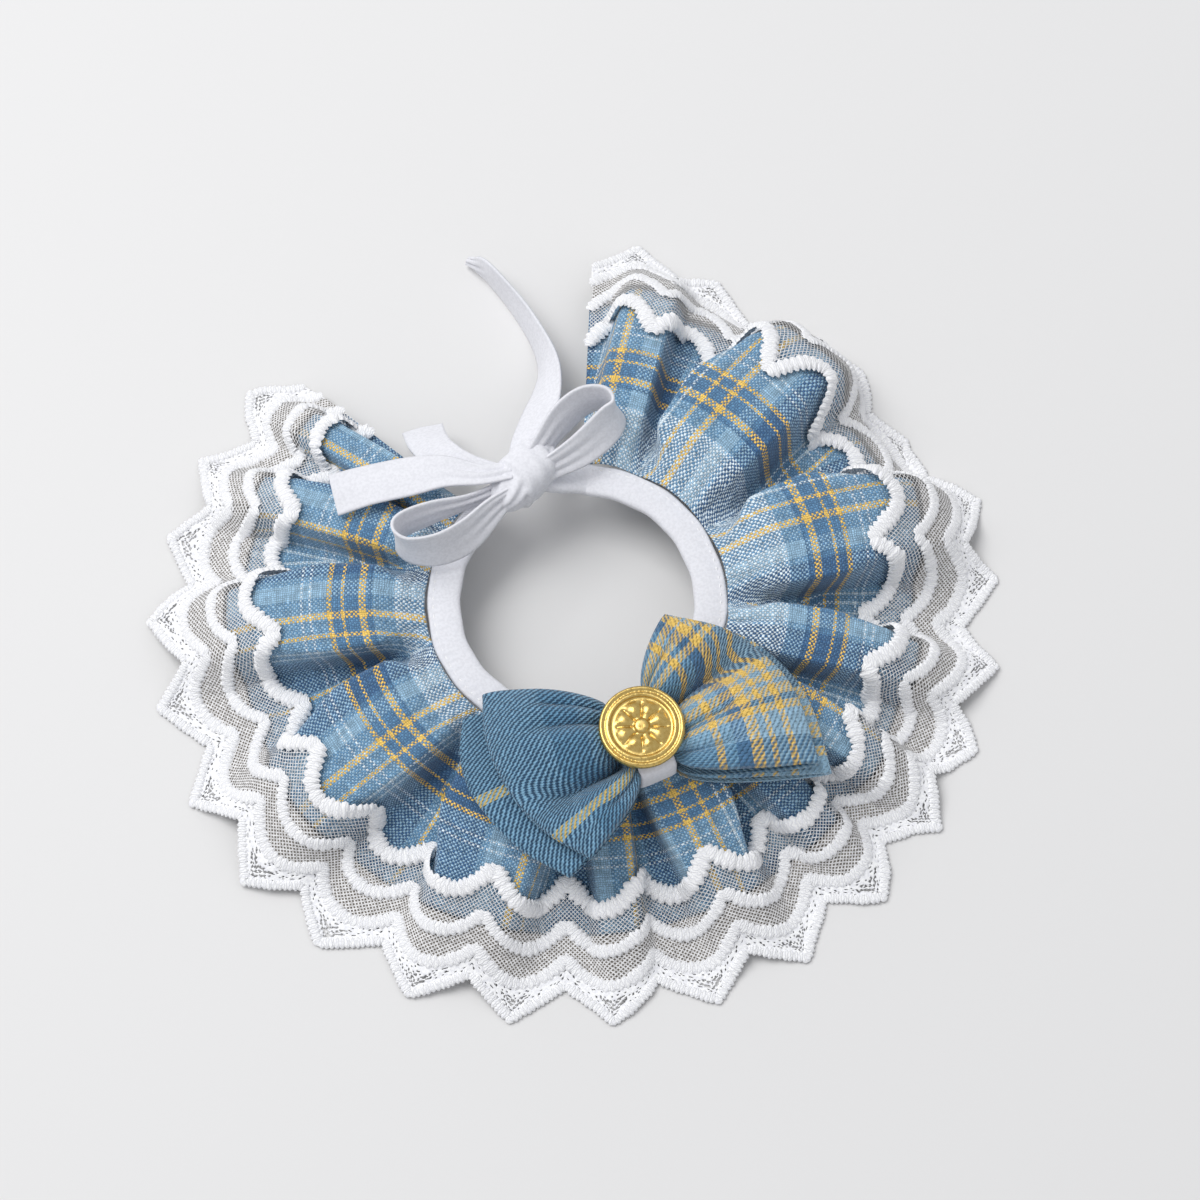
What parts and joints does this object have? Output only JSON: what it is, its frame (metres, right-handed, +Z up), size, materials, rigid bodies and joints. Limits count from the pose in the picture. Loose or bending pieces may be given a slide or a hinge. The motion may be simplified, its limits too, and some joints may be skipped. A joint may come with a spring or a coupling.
{
  "type": "lace bow tie pet collar",
  "caption": "Pleated plaid ruffle collar with a scalloped lace edge, white neck tape tied at the back, and a double bow with a round metal button in front, lying flat.",
  "frame": {"origin": "bottom centre of the bounding box, on the table that the collar lies on", "axes": "+Z up from the table, -Y towards the bow in front, +Y towards the ribbon ties at the back"},
  "size_m": [0.259, 0.2542, 0.0405],
  "materials": {
    "plaid_cotton": "plain-weave blue cotton plaid with yellow lines, matt",
    "bow_twill": "blue and yellow plaid twill, soft sheen on the ribs",
    "white_lace": "white embroidered net lace",
    "white_tape": "white woven tape, matt",
    "gold_metal": "stamped gold-coloured metal"
  },
  "bodies": {
    "root": {"plaid_ruffle": "plaid_cotton", "lace_frill": "white_lace", "neck_binding": "white_tape", "tie_knot": "white_tape", "tie_loop_right": "white_tape", "tie_loop_left": "white_tape", "tie_tail_left": "white_tape", "tie_tail_long": "white_tape", "tie_end_short": "white_tape", "bow_back_left": "bow_twill", "bow_back_right": "bow_twill", "bow_front_left": "bow_twill", "bow_front_right": "bow_twill", "bow_band": "white_tape", "button": "gold_metal"}
  },
  "joints": []
}
